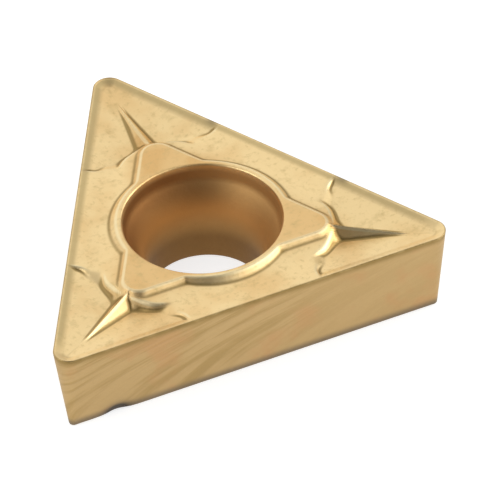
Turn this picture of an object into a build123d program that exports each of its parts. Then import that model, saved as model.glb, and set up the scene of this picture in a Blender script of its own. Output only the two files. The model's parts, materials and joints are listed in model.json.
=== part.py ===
"""Indexable triangular turning insert of coated cemented carbide: one solid, in millimetres.

Frame: the origin is on the screw hole's axis in the plane of the seat face, +Z points out of the
rake face, and one of the three cutting corners points along +Y.
"""
from build123d import *
from math import acos, cos, radians, sin, tan
import os

# ---- Blank ----
INSCRIBED_CIRCLE = 6.35      # diameter of the circle that touches the three cutting edges
EDGE_HEIGHT = 2.38           # cutting edges above the seat face
NOSE_RADIUS = 0.4            # corner radius of the cutting edge
CLEARANCE_ANGLE = 7.0        # lean of the flanks under the cutting edges, degrees
EDGE_HONE = 0.03             # bevel that breaks the cutting edge
SEAT_EDGE = 0.07             # bevel between the flanks and the seat face

# ---- Screw hole ----
THROAT_DIAMETER = 2.8        # straight lower part
RIM_DIAMETER = 3.94          # mouth of the screw head's seat
COLLAR_DEPTH = 0.38          # steep band under the rim
COLLAR_TAPER = 12.0          # lean of that band, degrees
SEAT_CURVE_RADIUS = 2.0      # rounded seat that runs from the band into the throat

# ---- Raised island in the middle of the rake face ----
ISLAND_RISE = 0.12           # flat top above the cutting edges
ISLAND_INSET = 1.45          # its upper outline, in from the cutting edges
ISLAND_TIP_RADIUS = 0.3      # rounding of its three tips
ISLAND_WALL_ANGLE = 45.0     # lean of its walls, degrees
RIM_WALL = 0.15              # flat ring round the rim where the hole breaks through those walls

# ---- Chip groove ----
LAND = 0.05                  # flat strip behind the cutting edge
GROOVE_ANGLE = 6.0           # fall and rise of the groove in the middle of each side, degrees
GROOVE_MIDDLE = 0.75         # lowest line of that groove, in from the cutting edge
POCKET_STEP = 0.09           # drop behind the land in the corner pockets
POCKET_STEP_WIDTH = 0.2      # plan width of that drop
POCKET_ANGLE = 9.5           # fall of the pocket floor behind the drop, degrees
POCKET_END = 1.78            # end of a pocket from the middle of the side
POCKET_REACH = 1.03          # how far in from the cutting edge a pocket goes at its end
POCKET_FLARE = 19.5          # turn of its inner side away from the cutting edge, degrees
POCKET_CORNER_RADIUS = 0.2   # rounding between that side and the end
POCKET_WALL_LEAN = 30.0      # lean of the walls round the pocket, degrees

# ---- Ridge that runs from the island towards each corner ----
RIDGE_TIP = 5.07             # reach of its tip from the hole's axis, where it leaves the floor
RIDGE_ROOT = 3.15            # where it reaches the island's top
RIDGE_FLANK_ANGLE = 42.0     # lean of its two flanks, degrees

CORNERS = 3
TURN = 360 / CORNERS         # from one corner to the next, degrees
CORNER_ANGLE = 180 / CORNERS # between the two cutting edges at a corner, degrees
FACING = 90 - CORNER_ANGLE   # outward direction of the side on the right of the +Y corner, degrees
CLEAR = 0.6                  # stand-out of cutting bodies past what they cut, and of added ones into it
HALF_CIRCLE = INSCRIBED_CIRCLE / 2
HALF_SIDE = HALF_CIRCLE * tan(radians(CORNER_ANGLE))
SHARP_REACH = 2 * HALF_CIRCLE
NOSE_CENTRE = SHARP_REACH - 2 * NOSE_RADIUS
OUTWARD = Vector(cos(radians(FACING)), sin(radians(FACING)), 0)
ALONG = Vector(-sin(radians(FACING)), cos(radians(FACING)), 0)
ISLAND_TOP = EDGE_HEIGHT + ISLAND_RISE
STEP_FOOT = LAND + POCKET_STEP_WIDTH


def triangle(inset, tip_radius):
    """Outline that lies in from the sharp cutting triangle by the inset, with a corner on +Y."""
    outline = RegularPolygon(radius=HALF_CIRCLE - inset, side_count=CORNERS, major_radius=False)
    outline = Rot(0, 0, 90) * outline
    return fillet(outline.vertices(), tip_radius) if tip_radius else outline


def round_the_hole(piece):
    """The piece made for the corner on +Y, and its copies for the other corners."""
    return [Rot(0, 0, i * TURN) * piece for i in range(CORNERS)]


def pocket_floor(inset):
    """Height of the pocket's floor against the cutting edges, behind the drop."""
    return -POCKET_STEP - (inset - STEP_FOOT) * tan(radians(POCKET_ANGLE))


def blank():
    """Flanks that lean in from the cutting edge to the seat face, with both edges broken."""
    top = Plane.XY.offset(EDGE_HEIGHT) * triangle(0, NOSE_RADIUS)
    body = extrude(top, amount=-EDGE_HEIGHT, taper=CLEARANCE_ANGLE)
    body = chamfer(body.edges().group_by(Axis.Z)[-1], EDGE_HONE)
    return chamfer(body.edges().group_by(Axis.Z)[0], SEAT_EDGE)


def side_groove():
    """Shallow valley along all three edges: an inverted pyramid with a flat pyramid left standing in it."""
    sink = (GROOVE_MIDDLE - LAND) * tan(radians(GROOVE_ANGLE))
    top = Plane.XY.offset(EDGE_HEIGHT) * triangle(LAND, 0)
    valley = Plane.XY.offset(EDGE_HEIGHT - sink) * triangle(GROOVE_MIDDLE, 0)
    dish = extrude(top, amount=-sink, taper=90 - GROOVE_ANGLE)
    hill = extrude(valley, amount=sink, taper=90 - GROOVE_ANGLE)
    clear_of_noses = Pos(0, 0, EDGE_HEIGHT) * Cylinder(NOSE_CENTRE - 2 * NOSE_RADIUS, 2 * CLEAR)
    return (dish - hill) & clear_of_noses


def half_pocket():
    """Body that clears the pocket on the right of the corner, up to the corner's middle plane."""
    middle = OUTWARD * HALF_CIRCLE + Vector(0, 0, EDGE_HEIGHT)
    tangent = HALF_SIDE - NOSE_RADIUS * tan(radians(CORNER_ANGLE))
    section = Polyline(
        (-CLEAR, 0),
        (LAND, 0),
        (STEP_FOOT, -POCKET_STEP),
        (HALF_CIRCLE, pocket_floor(HALF_CIRCLE)),
        (HALF_CIRCLE, CLEAR),
        (-CLEAR, CLEAR),
        close=True,
    )
    across = Plane(origin=middle, x_dir=-OUTWARD, z_dir=ALONG)
    rake = extrude(across * make_face(section), amount=tangent)

    inner_end = POCKET_REACH + (HALF_SIDE - POCKET_END) * tan(radians(POCKET_FLARE))
    plan = Polyline(
        (POCKET_END, -POCKET_REACH),
        (HALF_SIDE, -inner_end),
        (HALF_SIDE, CLEAR),
        (POCKET_END, CLEAR),
        close=True,
    )
    plan = make_face(plan)
    inner_corner = plan.vertices().sort_by(Axis.X)[:2].sort_by(Axis.Y)[0]
    from_above = Plane(origin=middle, x_dir=ALONG, z_dir=(0, 0, -1))
    outline = from_above * fillet(inner_corner, POCKET_CORNER_RADIUS)
    outline = extrude(outline, amount=CLEAR, taper=POCKET_WALL_LEAN)
    from_middle = (Align.MIN, Align.CENTER, Align.MIN)
    right_of_corner = Box(SHARP_REACH, 2 * SHARP_REACH, 2 * ISLAND_TOP, align=from_middle)
    return rake & outline & right_of_corner


def nose_rake():
    """Body that carries the pocket's drop and floor round the nose radius."""
    section = Polyline(
        (NOSE_RADIUS + CLEAR, 0),
        (NOSE_RADIUS - LAND, 0),
        (NOSE_RADIUS - STEP_FOOT, -POCKET_STEP),
        (0, pocket_floor(NOSE_RADIUS)),
        (0, CLEAR),
        (NOSE_RADIUS + CLEAR, CLEAR),
        close=True,
    )
    centre = Vector(0, NOSE_CENTRE, EDGE_HEIGHT)
    first_tangent = Plane(
        origin=centre,
        x_dir=OUTWARD,
        z_dir=-ALONG,
    )
    return revolve(first_tangent * make_face(section), Axis(centre, (0, 0, 1)), TURN)


def ridge():
    """Sharp-crested bow that climbs from the valley between the pockets to the island's tip."""
    tip_height = EDGE_HEIGHT + pocket_floor((SHARP_REACH - RIDGE_TIP) / 2)
    root_foot = EDGE_HEIGHT + pocket_floor((SHARP_REACH - RIDGE_ROOT) / 2) - EDGE_HONE
    half_width = (ISLAND_TOP - root_foot) * tan(radians(RIDGE_FLANK_ANGLE))
    across = Plane(origin=(0, RIDGE_ROOT, 0), x_dir=(1, 0, 0), z_dir=(0, -1, 0))
    root = Polyline((0, ISLAND_TOP), (-half_width, root_foot), (half_width, root_foot), close=True)
    return loft([across * make_face(root), Vertex(0, RIDGE_TIP, tip_height)])


def island():
    """Flat-topped triangle with leaning walls, and the ring that stands round the hole's rim."""
    top = triangle(ISLAND_INSET, ISLAND_TIP_RADIUS)
    ring = Circle(RIM_DIAMETER / 2 + RIM_WALL)
    level = Plane.XY.offset(ISLAND_TOP)
    walls = extrude(level * top, amount=-CLEAR, taper=-ISLAND_WALL_ANGLE)
    return walls + extrude(level * ring, amount=-CLEAR, taper=-ISLAND_WALL_ANGLE)


def screw_hole():
    """Seat for a countersunk screw head: steep band, rounded seat, straight throat."""
    throat = THROAT_DIAMETER / 2
    rim = RIM_DIAMETER / 2
    band_foot = rim - COLLAR_DEPTH * tan(radians(COLLAR_TAPER))
    sweep_angle = acos(1 - (band_foot - throat) / SEAT_CURVE_RADIUS)
    band_level = ISLAND_TOP - COLLAR_DEPTH
    throat_level = band_level - SEAT_CURVE_RADIUS * sin(sweep_angle)
    half_angle = sweep_angle / 2
    middle_of_curve = (
        throat + SEAT_CURVE_RADIUS * (1 - cos(half_angle)),
        throat_level + SEAT_CURVE_RADIUS * sin(half_angle),
    )
    lines = [
        Polyline((band_foot, band_level), (rim, ISLAND_TOP), (rim, ISLAND_TOP + CLEAR), (0, ISLAND_TOP + CLEAR)),
        Polyline((0, ISLAND_TOP + CLEAR), (0, -CLEAR), (throat, -CLEAR), (throat, throat_level)),
        ThreePointArc((throat, throat_level), middle_of_curve, (band_foot, band_level)),
    ]
    return revolve(Plane.XZ * make_face(lines), Axis.Z)


def insert():
    """The whole insert."""
    body = blank() - side_groove()
    right = half_pocket()
    for cutter in [right, mirror(right, about=Plane.YZ), nose_rake()]:
        for copy in round_the_hole(cutter):
            body -= copy
    body += island()
    for copy in round_the_hole(ridge()):
        body += copy
    return body - screw_hole()


os.makedirs("parts", exist_ok=True)
part = insert()
part.label = "insert"
export_step(part, "parts/insert.step")
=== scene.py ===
import json
import math
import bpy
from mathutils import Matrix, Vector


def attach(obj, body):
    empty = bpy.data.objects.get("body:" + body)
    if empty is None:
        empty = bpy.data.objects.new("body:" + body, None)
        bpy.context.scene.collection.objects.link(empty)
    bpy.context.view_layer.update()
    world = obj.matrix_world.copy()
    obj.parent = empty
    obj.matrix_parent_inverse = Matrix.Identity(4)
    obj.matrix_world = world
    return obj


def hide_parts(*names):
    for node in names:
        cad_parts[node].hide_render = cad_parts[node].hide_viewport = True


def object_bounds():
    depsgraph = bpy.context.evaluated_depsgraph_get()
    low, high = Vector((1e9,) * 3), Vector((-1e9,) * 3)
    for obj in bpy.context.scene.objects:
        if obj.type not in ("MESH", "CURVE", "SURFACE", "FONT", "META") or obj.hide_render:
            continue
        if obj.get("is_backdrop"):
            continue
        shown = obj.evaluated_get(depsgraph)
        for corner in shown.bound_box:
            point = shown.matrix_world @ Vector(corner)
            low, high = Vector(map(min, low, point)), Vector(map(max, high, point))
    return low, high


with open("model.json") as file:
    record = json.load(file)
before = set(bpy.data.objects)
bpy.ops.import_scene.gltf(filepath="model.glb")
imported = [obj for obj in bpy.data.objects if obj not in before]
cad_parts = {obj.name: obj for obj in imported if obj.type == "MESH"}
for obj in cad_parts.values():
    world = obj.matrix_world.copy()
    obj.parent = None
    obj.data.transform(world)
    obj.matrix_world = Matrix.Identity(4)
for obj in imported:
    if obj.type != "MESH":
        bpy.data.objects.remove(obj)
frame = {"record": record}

from types import SimpleNamespace

import bpy
import numpy as np
from bpy.props import FloatProperty, FloatVectorProperty, PointerProperty
from mathutils import Quaternion, Vector

bl_info = {
    "name": "Coated Turning Insert",
    "version": (1, 0, 0),
    "blender": (4, 5, 0),
    "location": "3D View > Sidebar > Insert",
    "description": "Surface, gold coating and studio for a triangular carbide turning insert",
    "category": "Add Mesh",
}

MM = 0.001
MICRON = 0.001 * MM
CORNERS = 3
CORNER_ANGLE = math.radians(60)         # between the two cutting edges at a corner
CORNER_FACING = math.radians(90)        # direction of the first corner
FACINGS = tuple(math.radians(angle) for angle in (30, 150, 270))  # outward directions of the sides

# Rings and samples of the surface
EDGE_SAMPLES = (24, 38, 36, 22)         # along half a side: middle, pocket's end, the rest, half a nose
BEFORE_END, PAST_END = 0.1 * MM, 0.6 * MM   # stretch with the closest samples, about a pocket's end
BAND = 0.3 * MM                         # width of the band behind the cutting edge
RAKE_RINGS, BAND_RINGS = 65, 18         # up to that band, and in it
BAND_CROWDING = 0.8                     # power under one, which sets them closer by the cutting edge
FLANK_RINGS = 5                         # above the chip's place, and as many beside it
SEAT_SHARES = (0.02, 0.06, 0.12, 0.3, 0.5, 0.75, 0.98)  # rings from the seat face's edge to the hole
FOLD_REACH = 0.08 * MM                  # distance over which the rake's folds are measured
MARK_PAST_END = 0.17 * MM               # a mark's place on the cutting edge, past a pocket's end
MARK_WIDTH, MARK_DEPTH = 0.17 * MM, 0.13 * MM   # half its width, and how far it goes from the edge
STORED = ("inset", "bore", "drop", "mark", "chip", "fold")  # what the mesh holds for its coating

# Studio: a direction is a turn from the front and a height, in degrees
FLOOR_HALF, FLOOR_GAP = 0.6, 0.002 * MM     # half its width, and how far it lies under the insert
FLOOR_SHADE, FLOOR_GLOW = 0.5, 0.7      # its grey, and the light it gives off where it is seen
LAMP_DISTANCE = 0.09                    # of each lamp from the insert
LEFT_BOX = (-62, 38, 0.6)               # direction, then size against the distance
RIGHT_BOX = (98, 20, 0.75)
SKY_BACK = (180, 40, 0.0, 0.8)          # direction, then the ramp's ends as cosines of the angle from it
SKY_DARK = (150, 8, 0.84, 0.96)
SKY_FRONT = (-6, 42, 0.68, 0.92)
SKY_TOP = (0, 90, 0.86, 0.96)
SKY_FILL = (54, 46, 0.93, 0.985)
DARK_DIM = 0.5                          # share taken off low behind the insert
SENSOR = 36                             # millimetres across the camera's sensor

LOW, HIGH = (Vector(corner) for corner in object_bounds())
SCREW_HOLE = next(mount for mount in frame["record"]["mounts"] if mount["name"] == "screw_hole")


def length(name, description, millimetres):
    """A size that a user may change, held in metres."""
    return FloatProperty(
        name=name, description=description, default=millimetres * MM, unit="LENGTH", precision=6)


def number(name, description, value):
    """A plain factor that a user may change."""
    return FloatProperty(name=name, description=description, default=value)


def degrees(name, description, value):
    """An angle that a user may change, held in radians."""
    return FloatProperty(name=name, description=description, default=math.radians(value), subtype="ANGLE")


def colour(name, description, value):
    """A linear colour that a user may change."""
    return FloatVectorProperty(
        name=name, description=description, default=value, subtype="COLOR", min=0, max=1)


class InsertForm(bpy.types.PropertyGroup):
    """Sizes of the insert's surface."""

    half_circle: length("Edge reach", "From the hole's axis to the middle of a cutting edge", 3.175)
    edge_height: length("Edge height", "Cutting edges above the seat face", 2.38)
    nose: length("Nose radius", "Corner radius of the cutting edge", 0.402)
    clearance: degrees("Clearance", "Lean of the flanks", 7)
    hone: length("Hone", "Rounding of the cutting edge", 0.03)
    seat_edge: length("Seat edge", "Rounding between the flanks and the seat face", 0.07)
    throat: length("Throat radius", "Straight part of the screw hole", SCREW_HOLE["dims"]["r_mm"])
    rim: length("Rim radius", "Mouth of the screw head's seat", 1.97)
    rim_edge: length("Rim rounding", "Rounding of the hole's rim", 0.06)
    collar_depth: length("Collar depth", "Steep band under the rim", 0.38)
    collar_taper: degrees("Collar taper", "Lean of the steep band", 12)
    seat_curve: length("Seat curve", "Radius of the screw head's rounded seat", 2.0)
    island_rise: length("Island rise", "Island's flat top above the cutting edges", 0.12)
    island_inset: length("Island inset", "Island's upper outline, in from the edges", 1.45)
    tip_round: length("Tip rounding", "Rounding of the island's three tips", 0.4)
    wall_angle: degrees("Wall lean", "Lean of the island's walls", 45)
    rim_wall: length("Rim wall", "Flat ring round the rim", 0.15)
    land: length("Land", "Flat strip behind the cutting edge", 0.05)
    groove_angle: degrees("Groove fall", "Fall and rise of the groove in the middle of each side", 6)
    groove_middle: length("Groove middle", "Lowest line of that groove, in from the edge", 0.75)
    step: length("Pocket step", "Drop behind the land in the corner pockets", 0.09)
    step_width: length("Step width", "Plan width of that drop", 0.2)
    pocket_angle: degrees("Pocket fall", "Fall of the pocket floor", 9.5)
    pocket_end: length("Pocket end", "End of a pocket from the middle of the side", 1.78)
    pocket_depth: length("Pocket reach", "Reach of a pocket in from the edge, at its end", 0.93)
    pocket_flare: degrees("Pocket flare", "Turn of its inner side away from the edge", 10)
    pocket_turn: length("Pocket turn", "From the side's middle to where it turns to the ridge", 2.25)
    turn_angle: degrees("Turn angle", "Turn of the inner side past that place", 45)
    pocket_corner: length("Pocket corner", "Rounding between its end and its inner side", 0.2)
    end_lean: degrees("End lean", "Lean of the wall round the pocket's end", 30)
    end_ease: number("End ease", "Slope of the pocket's end against its side's", 0.25)
    end_foot: length("End foot", "Foot of the pocket's end beyond its outline", -0.05)
    end_step: number("End step", "Slope added to that end by the cutting edge", 0.6)
    ridge_tip: length("Ridge tip", "Reach of the ridge's tip from the hole's axis", 5.0)
    ridge_root: length("Ridge root", "Where the ridge reaches the island's top", 2.55)
    ridge_lean: degrees("Ridge lean", "Lean of the ridge's flanks", 42)
    softness: length("Softness", "Rounding of the pressed creases", 0.03)
    chip_place: length("Chip place", "Chip in the seat edge, left of the front flank's middle", 3.68)
    chip_width: length("Chip width", "Half the width of that chip", 0.28)
    chip_height: length("Chip height", "Height of that chip", 0.22)
    chip_depth: length("Chip depth", "Depth of that chip", 0.08)


class InsertFinish(bpy.types.PropertyGroup):
    """Colours of the coating."""

    gold: colour("Rake gold", "Coating on the pressed rake face", (0.95, 0.725, 0.375))
    warm_gold: colour("Warm gold", "Deeper coating on the island and in patches", (0.78, 0.50, 0.205))
    # Painted shade: a dark olive laid into the rake's creases
    crease_shade_olive: colour("Crease olive", "Coating in the creases of the rake face", (0.26, 0.165, 0.045))
    # Painted highlight: a pale gold laid onto the rake's crests
    crest_highlight_gold: colour("Crest gold", "Coating on its crests", (0.98, 0.84, 0.52))
    dull_gold: colour("Dull gold", "Specks in the pressed surface", (0.60, 0.44, 0.19))
    # Painted shade: the flank gold, streak troughs and copper are darker copies of the coating, for the
    # shadowed floor the flanks face near their foot
    flank_gold_shaded: colour("Flank gold", "Coating over the ground flanks", (0.53, 0.365, 0.165))
    flank_shade: colour("Flank shade", "Troughs between the grinding streaks", (0.43, 0.29, 0.115))
    copper: colour("Copper patches", "Thicker coating in patches on the flanks", (0.54, 0.31, 0.135))
    # Painted shade: dark brown on the steep band under the rim
    collar_shade_brown: colour("Collar brown", "Coating on the steep band under the rim", (0.34, 0.165, 0.055))
    seat_brown: colour("Seat brown", "Coating on the screw head's seat", (0.74, 0.42, 0.145))
    # Painted highlight: a paler brown on the seat's right side
    seat_highlight_brown: colour("Pale brown", "Thinner coating on one side of the seat", (0.86, 0.56, 0.23))
    # Painted shade: dark brown deep in the throat
    throat_shade_brown: colour("Throat brown", "Coating in the throat", (0.26, 0.14, 0.048))
    # Painted shade: a dark olive line along the rounded cutting edges
    hone_shade_olive: colour("Hone olive", "Line under the cutting edges", (0.33, 0.22, 0.08))
    # Painted shade: a darker strip along the lands behind the cutting edges
    land_shade: colour("Land shade", "Rubbed strip along the lands", (0.58, 0.44, 0.21))
    # Painted shadow: a dark grey strip at the foot of the flanks, where the insert meets the floor
    seat_shadow_grey: colour("Seat grey", "Rubbed strip along the seat face's edge", (0.2, 0.15, 0.092))
    # Bare carbide in the chip; the same dark grey is laid on the marks past the pockets' ends
    bare_grey: colour("Bare carbide", "Broken spots without coating", (0.07, 0.052, 0.035))


class StudioSetup(bpy.types.PropertyGroup):
    """Viewing angle and lights."""

    view_azimuth: degrees("View azimuth", "Turn of the camera about the insert", -22.65)
    view_elevation: degrees("View elevation", "Height of the camera", 41.9)
    view_roll: degrees("View roll", "Turn of the camera about its own axis", -2.95)
    lens: number("Lens", "Focal length in millimetres", 1200)
    view_width: length("View width", "Width of the frame at the insert", 12.2)
    left_light: number("Left light", "Radiance of the left soft box", 2.1)
    right_light: number("Right light", "Radiance of the right soft box", 2.1)
    fill_light: number("Fill light", "Radiance added right of the camera", 1.8)
    sky_level: number("Sky level", "Radiance that matt surfaces get", 0.75)
    side_dim: number("Side dimming", "Share taken off away from the back", 0.5)
    top_dim: number("Top dimming", "Share taken off straight above", 0.55)
    front_dim: number("Front dimming", "Share taken off round the camera", 0.9)


def softplus(x, k):
    """Ramp that is zero below nought and x above it, rounded over about k."""
    return 0.5 * (x + np.sqrt(x * x + k * k))


def soft_max(a, b, k):
    """The larger of two heights, with the crease between them filled to a fillet of about k."""
    return b + softplus(a - b, k)


def soft_min(a, b, k):
    """The smaller of two heights, with the crease between them rounded off by about k."""
    return a - softplus(a - b, k)


def half_side(form):
    """Half the length of a sharp side: the reach times the tangent of the corner's angle."""
    return form.half_circle * math.tan(CORNER_ANGLE)


def sector_samples(form):
    """Cutting edge from the middle of the right side round the first corner to the middle of the left one.

    Straight stretch: reach times the side's normal plus s times its direction. Nose: centre plus radius
    times the normal, which turns from the side's facing to the corner's. The left half mirrors the right
    one. Returns points and outward normals.
    """
    middle, end, run, nose = EDGE_SAMPLES
    tangent = half_side(form) - form.nose * math.tan(CORNER_ANGLE)
    s = np.concatenate([
        np.linspace(0, form.pocket_end - BEFORE_END, middle, endpoint=False),
        np.linspace(form.pocket_end - BEFORE_END, form.pocket_end + PAST_END, end, endpoint=False),
        np.linspace(form.pocket_end + PAST_END, tangent, run, endpoint=False),
    ])
    normal = np.array([math.cos(FACINGS[0]), math.sin(FACINGS[0])])
    along = np.array([-normal[1], normal[0]])
    straight = form.half_circle * normal + s[:, None] * along
    turn = np.linspace(FACINGS[0], CORNER_FACING, nose + 1)
    turned = np.stack([np.cos(turn), np.sin(turn)], axis=1)
    centre = np.array([0, 2 * (form.half_circle - form.nose)])
    points = np.concatenate([straight, centre + form.nose * turned])
    normals = np.concatenate([np.repeat(normal[None], len(s), axis=0), turned])
    flip = np.array([-1, 1])
    points = np.concatenate([points, points[-2:0:-1] * flip])
    normals = np.concatenate([normals, normals[-2:0:-1] * flip])
    return points, normals


def edge_loop(form):
    """The whole cutting edge: the sector's points and normals turned through each third of a circle."""
    turns = [2 * math.pi * i / CORNERS for i in range(CORNERS)]
    matrices = [np.array([[math.cos(a), -math.sin(a)], [math.sin(a), math.cos(a)]]) for a in turns]
    return tuple(np.concatenate([pairs @ m.T for m in matrices]) for pairs in sector_samples(form))


def side_coordinates(x, y, form):
    """Inset from the nearest sharp side and distance along it from its middle, for each point.

    Inset: the reach less the point's part along the side's normal. Distance: its part across the normal.
    """
    insets = np.stack([form.half_circle - x * math.cos(a) - y * math.sin(a) for a in FACINGS])
    along = np.stack([np.abs(y * math.cos(a) - x * math.sin(a)) for a in FACINGS])
    nearest = insets.argmin(axis=0)[None]
    return np.take_along_axis(insets, nearest, 0)[0], np.take_along_axis(along, nearest, 0)[0]


def corner_coordinates(x, y):
    """Distance across and along the axis of the nearest corner, for each point: its radius times the sine
    and cosine of its angle from that corner."""
    angle = np.arctan2(y, x) - CORNER_FACING
    third = 2 * math.pi / CORNERS
    folded = angle - third * np.round(angle / third)
    radius = np.hypot(x, y)
    return np.abs(radius * np.sin(folded)), radius * np.cos(folded)


def rounded_inset(inset, across, reach, outline, radius, form):
    """Inset that follows an outline with rounded corners: past a corner's centre it is the outline's own
    inset plus the radius, less the distance from that centre."""
    centre = 2 * (form.half_circle - outline - radius)
    beyond = (reach - centre) > across * math.tan(CORNER_ANGLE / 2)
    return np.where(beyond, outline + radius - np.hypot(across, reach - centre), inset)


def beyond_line(inset, along, start_inset, start_along, turn):
    """Distance past a line through a place on the rake, turned away from the cutting edge: the part of the
    way from that place which lies along the line's normal."""
    return (inset - start_inset) * math.cos(turn) - (along - start_along) * math.sin(turn)


def rake_height(x, y, form):
    """Height of the rake face above the plane of the cutting edges.

    The groove falls inward and rises again at one angle. A pocket's floor falls at its own behind a
    quick drop, and is raised by how far a point lies outside the pocket: past its inner side, which
    turns once on its way to the ridge, or past its end, which is steeper at the cutting edge. The lower
    of groove and pocket is the floor. Walls, ring and ridges are slanted planes and cones whose highest
    counts, cut off level at the island's top. The higher of floor and island is the face.
    """
    k = form.softness
    inset, along = side_coordinates(x, y, form)
    across, reach = corner_coordinates(x, y)
    depth_in = rounded_inset(inset, across, reach, 0, form.nose, form)
    foot = form.land + form.step_width

    fall = math.tan(form.groove_angle)
    valley = 6 * k
    groove = fall * (
        2 * softplus(depth_in - form.groove_middle, valley) - softplus(depth_in - form.land, k))
    drop = form.step / form.step_width
    floor = -drop * (softplus(depth_in - form.land, k) - softplus(depth_in - foot, k))
    floor -= math.tan(form.pocket_angle) * softplus(depth_in - foot, k)
    turned_at = form.pocket_depth + (form.pocket_turn - form.pocket_end) * math.tan(form.pocket_flare)
    past_first = beyond_line(inset, along, form.pocket_depth, form.pocket_end, form.pocket_flare)
    past_second = beyond_line(inset, along, turned_at, form.pocket_turn, form.turn_angle)
    past_side = soft_min(past_first, past_second, form.pocket_corner / 2)
    ease = form.end_ease + form.end_step * bump_shape(depth_in - foot, form.step_width)
    past_end = (form.pocket_end + form.end_foot - along) * ease
    outside = soft_max(past_side, past_end, form.pocket_corner / 4)
    end_wall = outside / math.tan(form.end_lean)
    sunk = soft_min(groove, soft_max(floor, end_wall, k), k)

    rise = form.island_rise
    steep = 1 / math.tan(form.wall_angle)
    island_depth = rounded_inset(inset, across, reach, form.island_inset, form.tip_round, form)
    walls = rise + (island_depth - form.island_inset) * steep
    ring = rise + (form.rim + form.rim_wall - np.hypot(x, y)) * steep
    tip_inset = (2 * form.half_circle - form.ridge_tip) / 2
    tip_level = -form.step - (tip_inset - foot) * math.tan(form.pocket_angle)
    climb = (rise - tip_level) / (form.ridge_tip - form.ridge_root)
    crest = tip_level + (form.ridge_tip - reach) * climb
    ridge = crest - across / math.tan(form.ridge_lean)
    raised = soft_max(soft_max(walls, ring, k), ridge, k / 2)
    return np.minimum(soft_max(sunk, soft_min(raised, rise, k / 2), k), rise)


def hollow_share(x, y, form):
    """How sharply the rake folds at each point: the mean height of four places round it less its own,
    over their distance. It is positive in a crease and negative on a crest."""
    d = FOLD_REACH
    round_it = sum(rake_height(x + a, y + b, form) for a, b in ((d, 0), (-d, 0), (0, d), (0, -d))) / 4
    return (round_it - rake_height(x, y, form)) / d


def hole_profile(form):
    """Radius and height from the seat face up the throat, rounded seat and collar to the rim.

    Each rounding is its centre plus or minus its radius times the sine and cosine of a turning angle;
    the rest are straight lines between them.
    """
    top = form.edge_height + form.island_rise
    band_foot = form.rim - form.collar_depth * math.tan(form.collar_taper)
    sweep = math.acos(1 - (band_foot - form.throat) / form.seat_curve)
    band_level = top - form.collar_depth
    throat_level = band_level - form.seat_curve * math.sin(sweep)
    e = form.seat_edge
    t = np.linspace(0, math.pi / 2, 4)
    mouth = np.stack([form.throat + e * (1 - np.sin(t)), e * (1 - np.cos(t))], axis=1)
    levels = np.linspace(e, throat_level, 5)[1:-1]
    straight = np.stack([np.full(len(levels), form.throat), levels], axis=1)
    t = np.linspace(0, sweep, 16)
    curve_radius = form.throat + form.seat_curve * (1 - np.cos(t))
    curve = np.stack([curve_radius, throat_level + form.seat_curve * np.sin(t)], axis=1)
    r = form.rim_edge
    t = np.linspace(form.collar_taper, math.pi / 2, 6)
    lip = np.stack([form.rim + r * (1 - np.cos(t)), top - r * (1 - np.sin(t))], axis=1)
    share = np.linspace(0, 1, 5)[1:-1, None]
    collar = curve[-1] * (1 - share) + lip[0] * share
    return np.concatenate([mouth, straight, curve, collar, lip])


def insert_rows(form):
    """Closed surface as rings of points: up the hole, out over the rake, down the flank, in over the seat.

    Each ring has one point for every sample of the cutting edge. Hole: profile turned round the axis.
    Rake: straight lines from the rim to the inner side of a band that follows the edge, then the band
    itself, lifted by the height function. Hone, flank and seat edge: the edge moved inward along its
    normals. Seat face: straight lines from there to the hole's mouth. Returns points[ring, sample], and
    for each of them its depth in the bore and its drop below the cutting edge.
    """
    edge, normal = edge_loop(form)
    samples = len(edge)
    inner = edge - normal * BAND
    angle = np.arctan2(inner[:, 1], inner[:, 0])
    ray = np.stack([np.cos(angle), np.sin(angle)], axis=1)
    rows, bore, drop = [], [], []

    def ring(points, height, bore_depth=0.0, flank_drop=0.0):
        """Adds a ring, with one height for all its points or one for each."""
        rows.append(np.column_stack([points, np.broadcast_to(height, samples)]))
        bore.append(np.full(samples, bore_depth))
        drop.append(np.full(samples, flank_drop))

    profile = hole_profile(form)
    top = form.edge_height + form.island_rise
    for radius, level in profile:
        ring(ray * radius, level, bore_depth=max(top - level, 0.0))
    start = ray * profile[-1, 0]
    for share in np.linspace(0, 1, RAKE_RINGS)[1:]:
        points = start * (1 - share) + inner * share
        ring(points, form.edge_height + rake_height(points[:, 0], points[:, 1], form))
    steps = BAND * (1 - np.linspace(0, 1, BAND_RINGS)[1:-1] ** BAND_CROWDING)
    clear_of_hone = 1.05 * form.hone
    for step in steps[steps > clear_of_hone]:
        points = edge - normal * step
        ring(points, form.edge_height + rake_height(points[:, 0], points[:, 1], form))
    lean = math.tan(form.clearance)
    for t in np.linspace(0, math.pi / 2, 6):
        depth = form.hone * (1 - math.cos(t))
        step = form.hone * (1 - math.sin(t)) + depth * lean
        ring(edge - normal * step, form.edge_height - depth, flank_drop=depth)
    foot = form.edge_height - form.seat_edge
    chip_top = foot - 2 * form.chip_height
    above_chip = np.linspace(form.hone, chip_top, FLANK_RINGS + 1)[1:]
    beside_chip = np.linspace(chip_top, foot, FLANK_RINGS + 1)[1:]
    for depth in np.concatenate([above_chip, beside_chip]):
        ring(edge - normal * depth * lean, form.edge_height - depth, flank_drop=depth)
    for t in np.linspace(0, math.pi / 2, 5)[1:]:
        level = form.seat_edge * (1 - math.sin(t))
        step = (form.edge_height - level) * lean + form.seat_edge * (1 - math.cos(t))
        ring(edge - normal * step, level, flank_drop=form.edge_height - level)
    outer = rows[-1][:, :2]
    mouth = ray * profile[0, 0]
    for share in SEAT_SHARES:
        ring(outer * (1 - share) + mouth * share, 0.0, flank_drop=form.edge_height)
    return np.array(rows), np.array(bore), np.array(drop)


def bump_shape(x, width):
    """Bell of height one: e to the minus square of x over the width."""
    return np.exp(-(x / width) ** 2)


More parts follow.
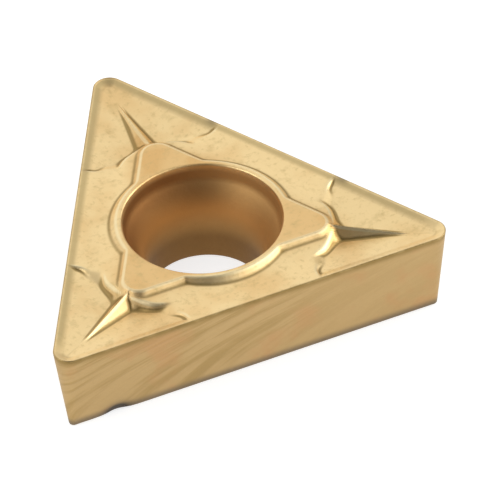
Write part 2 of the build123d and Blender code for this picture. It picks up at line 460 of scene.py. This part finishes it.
def chip_share(rows, form):
    """How deep each point lies in the chip: a bell along the front flank times a bell up from the seat."""
    x, y, z = (rows[..., i] for i in range(3))
    on_front = y < -form.half_circle + form.edge_height * math.tan(form.clearance) + 2 * form.seat_edge
    return on_front * bump_shape(x + form.chip_place, form.chip_width) * bump_shape(z, form.chip_height)


def mark_share(along, below, form):
    """How far each point lies in a mark: a bell along the cutting edge, placed just past a pocket's end,
    times a bell away from the edge."""
    past_end = along - form.pocket_end - MARK_PAST_END
    return bump_shape(past_end, MARK_WIDTH) * bump_shape(below, MARK_DEPTH)


def ring_mesh(name, rows):
    """Mesh of rings joined to each other and closed both ways, with faces outwards."""
    rings, samples = rows.shape[:2]
    index = np.arange(rings * samples).reshape(rings, samples)
    right = np.roll(index, -1, axis=1)
    above = np.roll(index, -1, axis=0)
    corner = np.roll(right, -1, axis=0)
    faces = np.stack([index, above, corner, right], axis=-1).reshape(-1, 4)
    points = rows.reshape(-1, 3)
    a, b, c = (points[faces[:, i]] for i in range(3))
    if np.einsum("ij,ij->", a, np.cross(b, c)) < 0:
        faces = faces[:, ::-1]
    mesh = bpy.data.meshes.new(name)
    mesh.vertices.add(len(points))
    mesh.vertices.foreach_set("co", points.astype(np.float32).ravel())
    mesh.loops.add(faces.size)
    mesh.loops.foreach_set("vertex_index", faces.astype(np.int32).ravel())
    mesh.polygons.add(len(faces))
    mesh.polygons.foreach_set("loop_start", np.arange(0, faces.size, 4, dtype=np.int32))
    mesh.polygons.foreach_set("use_smooth", np.ones(len(faces), dtype=bool))
    mesh.update(calc_edges=True)
    mesh.validate()
    return mesh


def point_values(mesh, name, values):
    """Stores one number per point under a name that the coating reads."""
    attribute = mesh.attributes.new(name, "FLOAT", "POINT")
    attribute.data.foreach_set("value", values.astype(np.float32).ravel())


def girth_map(mesh, edge, drop):
    """UV map in millimetres: distance round the cutting edge, and drop below it.

    The distance is the running sum of the steps between samples; the last face of each ring ends at the
    full length instead of nought.
    """
    rings, samples = drop.shape
    steps = np.linalg.norm(np.roll(edge, -1, axis=0) - edge, axis=1)
    run = np.concatenate([[0], np.cumsum(steps)]) / MM
    corners = np.empty(len(mesh.loops), dtype=np.int32)
    mesh.loops.foreach_get("vertex_index", corners)
    column = corners % samples
    by_face = column.reshape(-1, 4)
    wraps = by_face.max(axis=1) - by_face.min(axis=1) > 1
    by_face = np.where(wraps[:, None] & (by_face == 0), samples, by_face)
    uv = np.stack([run[by_face.ravel()], drop.ravel()[corners] / MM], axis=1)
    layer = mesh.uv_layers.new(name="Girth")
    layer.data.foreach_set("uv", uv.astype(np.float32).ravel())


class Value:
    """A socket in a node tree; arithmetic on it adds the Math nodes."""

    def __init__(self, tree, socket):
        self.tree = tree
        self.socket = socket

    def _math(self, operation, *operands, clamp=False):
        """A Math node on values and numbers."""
        node = self.tree.nodes.new("ShaderNodeMath")
        node.operation = operation
        node.use_clamp = clamp
        for socket, operand in zip(node.inputs, operands):
            if isinstance(operand, Value):
                self.tree.links.new(operand.socket, socket)
            else:
                socket.default_value = operand
        return Value(self.tree, node.outputs[0])

    def __add__(self, other):
        return self._math("ADD", self, other)

    def __sub__(self, other):
        return self._math("SUBTRACT", self, other)

    def __rsub__(self, other):
        return self._math("SUBTRACT", other, self)

    def __mul__(self, other):
        return self._math("MULTIPLY", self, other)

    def __truediv__(self, other):
        return self._math("DIVIDE", self, other)

    __radd__ = __add__
    __rmul__ = __mul__

    def clamped(self):
        """Kept between 0 and 1."""
        return self._math("ADD", self, 0.0, clamp=True)

    def ramp(self, low, high):
        """0 at low, 1 at high, smooth between."""
        return shade_node(self.tree, "ShaderNodeMapRange",
                          {"interpolation_type": "SMOOTHSTEP", "clamp": True},
                          {"Value": self, "From Min": low, "From Max": high})


def shade_node(tree, kind, settings=None, values=None, output=0):
    """Adds a node of a type, sets its settings, then its sockets' values or links, and returns an output."""
    node = tree.nodes.new(kind)
    for name, setting in (settings or {}).items():
        setattr(node, name, setting)
    for name, value in (values or {}).items():
        socket = node.inputs[name]
        if isinstance(value, Value):
            tree.links.new(value.socket, socket)
        else:
            socket.default_value = value
    return Value(tree, node.outputs[output])


def mix_colours(tree, factor, first, second):
    """Mix of two colours, each a socket or a constant."""
    node = tree.nodes.new("ShaderNodeMix")
    node.data_type = "RGBA"
    for index, value in ((0, factor), (6, first), (7, second)):
        if isinstance(value, Value):
            tree.links.new(value.socket, node.inputs[index])
        else:
            node.inputs[index].default_value = (*value, 1) if index else value
    return Value(tree, node.outputs[2])


def mix_values(share, first, second):
    """The first value where the share is nought, the second where it is one."""
    return first + (second - first) * share


def dot(tree, vector, direction):
    """Cosine between a unit vector socket and a fixed direction."""
    cosine = shade_node(
        tree, "ShaderNodeVectorMath", {"operation": "DOT_PRODUCT"}, {"Vector": vector}, output=1)
    cosine.socket.node.inputs[1].default_value = direction
    return cosine


def noise(tree, vector, scale, detail, roughness):
    """Noise between 0 and 1, at a scale in repeats a unit of the given coordinates."""
    return shade_node(tree, "ShaderNodeTexNoise", {"noise_dimensions": "3D"},
                      {"Vector": vector, "Scale": scale, "Detail": detail, "Roughness": roughness})


def coating_values(tree):
    """What the coating is worked out from: place and stored distances in millimetres, shares, and noises."""
    place = shade_node(tree, "ShaderNodeTexCoord", output="Object")
    split = shade_node(tree, "ShaderNodeSeparateXYZ", values={"Vector": place}).socket.node
    right, back, height = (Value(tree, split.outputs[i]) / MM for i in range(3))
    stored = {
        name: shade_node(tree, "ShaderNodeAttribute", {"attribute_name": name}, output="Fac")
        for name in STORED
    }
    return SimpleNamespace(
        right=right,
        back=back,
        height=height,
        patches=noise(tree, place, 620, detail=3, roughness=0.6),
        mottle=noise(tree, place, 2600, detail=3, roughness=0.65),
        specks=noise(tree, place, 7200, detail=2, roughness=0.6),
        grain=noise(tree, place, 16000, detail=2, roughness=0.7),
        **stored,
    )


def grinding_streaks(tree):
    """Broad, coarse and fine noise that runs in bowed streaks down the flanks.

    A streak follows one value of the distance round the edge plus 4.6 times the drop less 0.8 times its
    square.
    """
    girth = shade_node(tree, "ShaderNodeUVMap", {"uv_map": "Girth"})
    split = shade_node(tree, "ShaderNodeSeparateXYZ", values={"Vector": girth}).socket.node
    around, depth = (Value(tree, split.outputs[i]) for i in range(2))
    bow = depth * 4.6 - depth * depth * 0.8
    place = shade_node(tree, "ShaderNodeCombineXYZ", values={"X": around + bow, "Y": around * 0.3})
    broad = noise(tree, place, 0.62, detail=1, roughness=0.6)
    coarse = noise(tree, place, 1.5, detail=2, roughness=0.7)
    fine = noise(tree, place, 4, detail=2, roughness=0.7)
    return broad, coarse, fine


def lapping_lines(tree, at):
    """Noise drawn out five times to the right, for the seat face."""
    place = shade_node(tree, "ShaderNodeCombineXYZ", values={"X": at.right * 0.2, "Y": at.back})
    return noise(tree, place, 5, detail=3, roughness=0.75)


def rake_colours(tree, finish, at):
    """Pressed face: warmer patches and island, dull specks, painted shade along the lands and in the creases,
    painted highlights on the crests.
    """
    warm = (at.patches.ramp(0.42, 0.7) * 0.5 + at.inset.ramp(1.0, 1.7) * 0.72).clamped()
    dull = at.specks.ramp(0.52, 0.75) * 0.35 + at.mottle.ramp(0.5, 0.72) * 0.34
    # Painted shade along the lands, faded out along the front edge
    on_land = at.inset.ramp(0.02, 0.09) * (1 - at.inset.ramp(0.14, 0.28)) * at.back.ramp(-3.0, -2.0)
    colours = mix_colours(tree, warm, finish.gold, finish.warm_gold)
    colours = mix_colours(tree, dull, colours, finish.dull_gold)
    colours = mix_colours(tree, on_land * 0.85, colours, finish.land_shade)
    # Painted shade in the rake's creases, stronger where the face folds more sharply
    colours = mix_colours(tree, at.fold.ramp(0.03, 0.2) * 0.8, colours, finish.crease_shade_olive)
    # Painted highlight on the rake's crests
    return mix_colours(tree, (0 - at.fold).ramp(0.04, 0.2) * 0.6, colours, finish.crest_highlight_gold)


def ground_colours(tree, finish, at, troughs):
    """Ground flanks and seat face, darkened as painted shade: shaded troughs, copper patches, and a painted
    shadow along the seat's edge.
    """
    # Painted shadow along the foot of the flanks, by the seat face's edge
    seat_shadow_band = at.drop.ramp(2.06, 2.31) * at.height.ramp(0.0, 0.03)
    # Flank colours carry painted shade
    colours = mix_colours(tree, troughs, finish.flank_gold_shaded, finish.flank_shade)
    colours = mix_colours(tree, at.patches.ramp(0.5, 0.68) * 0.62, colours, finish.copper)
    return mix_colours(tree, seat_shadow_band * 0.9, colours, finish.seat_shadow_grey)


def bore_colours(tree, finish, at):
    """Screw hole: steep band and throat darkened as painted shade, paler seat with its right side palest as a
    painted highlight.
    """
    colours = mix_colours(tree, at.bore.ramp(0.5, 1.15), finish.collar_shade_brown, finish.seat_brown)
    # Painted highlight on the seat's right side
    colours = mix_colours(tree, at.right.ramp(-0.2, 1.9) * 0.5, colours, finish.seat_highlight_brown)
    return mix_colours(tree, at.bore.ramp(1.0, 1.9), colours, finish.throat_shade_brown)


def gold_coating(tree, finish):
    """Gold nitride over pressed rake face, ground flanks and bore, with painted shade along its edges.

    Each finish lies over the one before by a share, most often a ramp of a stored distance: inset from
    the cutting edge, drop below it, or depth in the bore.
    """
    at = coating_values(tree)
    broad, coarse, fine = grinding_streaks(tree)
    lapped = lapping_lines(tree, at)
    on_flank = at.drop.ramp(0.02, 0.08)
    in_bore = at.bore.ramp(0.03, 0.2)
    on_face = 1 - at.height.ramp(0.0, 0.03)
    streaked = 1 - at.right.ramp(-0.5, 2.5) * 0.7
    # Painted shade along the hone, mottled, fading down the flank
    hone_shade_band = (1 - at.inset.ramp(0.0, 0.05)) * (1 - at.drop.ramp(0.06, 0.26))
    to_right_side = at.right * math.cos(FACINGS[0]) + at.back * math.sin(FACINGS[0])
    # Dark grey on the chip, and on the marks past the pockets' ends on the side facing back and right
    chip_and_marks = (at.mark * to_right_side.ramp(2.2, 3.0) * 0.55 + at.chip * 2.6).clamped()

    streaks = (coarse * 0.6 + broad * 0.5).ramp(0.48, 0.68) * streaked
    troughs = mix_values(on_face, streaks, lapped.ramp(0.4, 0.7))
    ground = ground_colours(tree, finish, at, troughs)
    colours = mix_colours(tree, on_flank, rake_colours(tree, finish, at), ground)
    colours = mix_colours(tree, in_bore, colours, bore_colours(tree, finish, at))
    colours = mix_colours(tree, hone_shade_band * (0.62 + at.mottle * 0.75), colours, finish.hone_shade_olive)
    colours = mix_colours(tree, chip_and_marks, colours, finish.bare_grey)

    roughness = 0.32 + at.grain * 0.12 + on_flank * 0.08 + in_bore * 0.16 + at.specks * 0.06
    pressed_relief = at.grain * 2.2 + at.specks * 2.4 + at.mottle * 3
    streak_relief = streaked * (coarse * 20 + fine * 6) + broad * 10
    ground_relief = mix_values(on_face, streak_relief, lapped * 4)
    relief = mix_values(on_flank, pressed_relief, ground_relief) * MICRON
    bump = shade_node(tree, "ShaderNodeBump", values={"Strength": 1.0, "Distance": 1.0, "Height": relief})
    return shade_node(tree, "ShaderNodeBsdfPrincipled",
                      values={"Base Color": colours, "Metallic": 1.0, "Roughness": roughness, "Normal": bump})


def material_with(name, build):
    """A material whose surface is what build(tree) returns."""
    material = bpy.data.materials.new(name)
    material.use_nodes = True
    tree = material.node_tree
    tree.nodes.clear()
    surface = build(tree)
    tree.links.new(surface.socket, tree.nodes.new("ShaderNodeOutputMaterial").inputs["Surface"])
    return material


class INSERT_OT_body(bpy.types.Operator):
    """Makes the coated insert as one closed surface in place of its solid"""

    bl_idname = "insert.body"
    bl_label = "Coated insert"

    def execute(self, context):
        form = context.scene.insert_form
        rows, bore, drop = insert_rows(form)
        chip = chip_share(rows, form)
        rows[..., 1] += chip * form.chip_depth
        mesh = ring_mesh("coated_insert", rows)
        x, y = rows[..., 0], rows[..., 1]
        inset, along = side_coordinates(x, y, form)
        across, reach = corner_coordinates(x, y)
        depth_in = np.maximum(rounded_inset(inset, across, reach, 0, form.nose, form), 0)
        mark = mark_share(along, depth_in + drop, form)
        fold = np.where((bore == 0) & (drop == 0), hollow_share(x, y, form), 0)
        for name, values in zip(STORED, (depth_in / MM, bore / MM, drop / MM, mark, chip, fold)):
            point_values(mesh, name, values)
        edge, _ = edge_loop(form)
        girth_map(mesh, edge, drop)
        finish = context.scene.insert_finish
        mesh.materials.append(material_with("gold_coating", lambda tree: gold_coating(tree, finish)))
        piece = bpy.data.objects.new("coated_insert", mesh)
        context.collection.objects.link(piece)
        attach(piece, "root")
        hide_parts("insert")
        return {"FINISHED"}


def plane_mesh(name, half, level):
    """A square in the horizontal plane at a level."""
    mesh = bpy.data.meshes.new(name)
    corners = [(-half, -half, level), (half, -half, level), (half, half, level), (-half, half, level)]
    mesh.from_pydata(corners, [], [(0, 1, 2, 3)])
    return mesh


def seen_directly(tree):
    """1 for rays that show the background: the camera's, and those in metal and glass."""
    path = shade_node(tree, "ShaderNodeLightPath").socket.node
    camera, glossy, through = (
        Value(tree, path.outputs[name]) for name in ("Is Camera Ray", "Is Glossy Ray", "Is Transmission Ray")
    )
    return camera, (camera + glossy + through).clamped()


def pale_floor(tree):
    """White floor: matt, and lifted where it is seen so that only the insert's shadow shows on it."""
    grey = (FLOOR_SHADE, FLOOR_SHADE, FLOOR_SHADE, 1)
    matt = shade_node(tree, "ShaderNodeBsdfDiffuse", values={"Color": grey})
    glow = shade_node(tree, "ShaderNodeEmission", values={"Color": (1, 1, 1, 1), "Strength": FLOOR_GLOW})
    both = shade_node(tree, "ShaderNodeAddShader")
    tree.links.new(matt.socket, both.socket.node.inputs[0])
    tree.links.new(glow.socket, both.socket.node.inputs[1])
    _, seen = seen_directly(tree)
    mixed = shade_node(tree, "ShaderNodeMixShader", values={"Fac": seen})
    tree.links.new(matt.socket, mixed.socket.node.inputs[1])
    tree.links.new(both.socket, mixed.socket.node.inputs[2])
    return mixed


def from_angles(azimuth, elevation):
    """Unit vector towards a place seen from the insert: azimuth turns from -Y, as the camera's does."""
    level = math.cos(elevation)
    return Vector((math.sin(azimuth) * level, -math.cos(azimuth) * level, math.sin(elevation)))


def from_front(front, turn, height):
    """Unit vector at a turn from the front and at a height, both in degrees."""
    return from_angles(front + math.radians(turn), math.radians(height))


def middle_of_view(mesh, turned):
    """Point that stands in the middle of the frame: half way between the mesh's reach on each camera axis."""
    points = np.empty(len(mesh.vertices) * 3, dtype=np.float32)
    mesh.vertices.foreach_get("co", points)
    axes = np.array(turned.to_matrix())
    seen = points.reshape(-1, 3) @ axes
    return Vector(axes @ (seen.min(axis=0) + seen.max(axis=0)) / 2)


def soft_box(name, aim, front, place, radiance):
    """Square area lamp that faces the aim; its power is radiance times pi times its area."""
    turn, height, size_share = place
    size = size_share * LAMP_DISTANCE
    lamp = bpy.data.lights.new(name, "AREA")
    lamp.shape = "SQUARE"
    lamp.size = size
    lamp.energy = radiance * math.pi * size * size
    box = bpy.data.objects.new(name, lamp)
    direction = from_front(front, turn, height)
    box.location = aim + direction * LAMP_DISTANCE
    box.rotation_mode = "QUATERNION"
    box.rotation_quaternion = direction.to_track_quat("Z", "Y")
    bpy.context.collection.objects.link(box)


def sky(setup, front):
    """Background whose radiance depends on the direction.

    Metal, glass and other mirrors show a white sky that fades away from the back, low behind the insert,
    above it and round the camera, with one bright patch to the right. The camera sees plain white, and
    matt surfaces get an even level. Each part is a ramp of the cosine of the angle from its direction.
    """
    world = bpy.data.worlds.new("sky")
    world.use_nodes = True
    tree = world.node_tree
    tree.nodes.clear()
    way = shade_node(tree, "ShaderNodeTexCoord", output="Generated")
    to_back, to_dark, to_front, to_top, to_fill = (
        dot(tree, way, from_front(front, turn, height)).ramp(low, high)
        for turn, height, low, high in (SKY_BACK, SKY_DARK, SKY_FRONT, SKY_TOP, SKY_FILL)
    )
    level = (1 - (1 - to_back) * setup.side_dim) * (1 - to_dark * DARK_DIM)
    level = level * (1 - to_top * setup.top_dim) + to_fill * setup.fill_light
    level = level * (1 - to_front * setup.front_dim)
    camera, seen = seen_directly(tree)
    strength = mix_values(seen, setup.sky_level, mix_values(camera, level, 1))
    shell = shade_node(tree, "ShaderNodeBackground", values={"Color": (1, 1, 1, 1), "Strength": strength})
    tree.links.new(shell.socket, tree.nodes.new("ShaderNodeOutputWorld").inputs["Surface"])
    bpy.context.scene.world = world


class INSERT_OT_studio(bpy.types.Operator):
    """Makes the pale floor, the soft lamps, the sky and the camera"""

    bl_idname = "insert.studio"
    bl_label = "Studio"

    def execute(self, context):
        setup = context.scene.insert_studio
        scene = context.scene
        scene.view_settings.view_transform = "Standard"
        aim = (LOW + HIGH) / 2

        floor = bpy.data.objects.new("floor", plane_mesh("floor", FLOOR_HALF, LOW.z - FLOOR_GAP))
        floor.data.materials.append(material_with("pale_floor", pale_floor))
        context.collection.objects.link(floor)
        floor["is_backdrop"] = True

        soft_box("left_box", aim, setup.view_azimuth, LEFT_BOX, setup.left_light)
        soft_box("right_box", aim, setup.view_azimuth, RIGHT_BOX, setup.right_light)
        sky(setup, setup.view_azimuth)

        camera = bpy.data.cameras.new("camera")
        camera.lens = setup.lens
        camera.sensor_width = SENSOR
        eye = bpy.data.objects.new("camera", camera)
        distance = setup.view_width * setup.lens / SENSOR
        direction = from_angles(setup.view_azimuth, setup.view_elevation)
        turned = direction.to_track_quat("Z", "Y") @ Quaternion((0, 0, 1), setup.view_roll)
        eye.location = middle_of_view(bpy.data.objects["coated_insert"].data, turned) + direction * distance
        eye.rotation_mode = "QUATERNION"
        eye.rotation_quaternion = turned
        camera.clip_start = distance * 0.5
        camera.clip_end = distance * 3
        context.collection.objects.link(eye)
        scene.camera = eye
        return {"FINISHED"}


class INSERT_PT_sidebar(bpy.types.Panel):
    """Lists the insert's sizes, colours and steps"""

    bl_label = "Turning Insert"
    bl_idname = "INSERT_PT_sidebar"
    bl_space_type = "VIEW_3D"
    bl_region_type = "UI"
    bl_category = "Insert"

    def draw(self, context):
        """Every value of the three groups, then a button for each step."""
        for group in (context.scene.insert_form, context.scene.insert_finish, context.scene.insert_studio):
            box = self.layout.box()
            for name in group.__annotations__:
                box.prop(group, name)
        for step in STEPS:
            self.layout.operator(step.bl_idname)


GROUPS = {"insert_form": InsertForm, "insert_finish": InsertFinish, "insert_studio": StudioSetup}
STEPS = (INSERT_OT_body, INSERT_OT_studio)


def register():
    """Registers the classes, and gives the scene its three groups."""
    for kind in (*GROUPS.values(), *STEPS, INSERT_PT_sidebar):
        bpy.utils.register_class(kind)
    for name, kind in GROUPS.items():
        setattr(bpy.types.Scene, name, PointerProperty(type=kind))


def unregister():
    """Undoes register."""
    for name in GROUPS:
        delattr(bpy.types.Scene, name)
    for kind in reversed((*GROUPS.values(), *STEPS, INSERT_PT_sidebar)):
        bpy.utils.unregister_class(kind)


def main():
    """Runs the steps in order."""
    register()
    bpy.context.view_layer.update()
    bpy.ops.insert.body()
    bpy.ops.insert.studio()


if __name__ == "__main__":
    main()
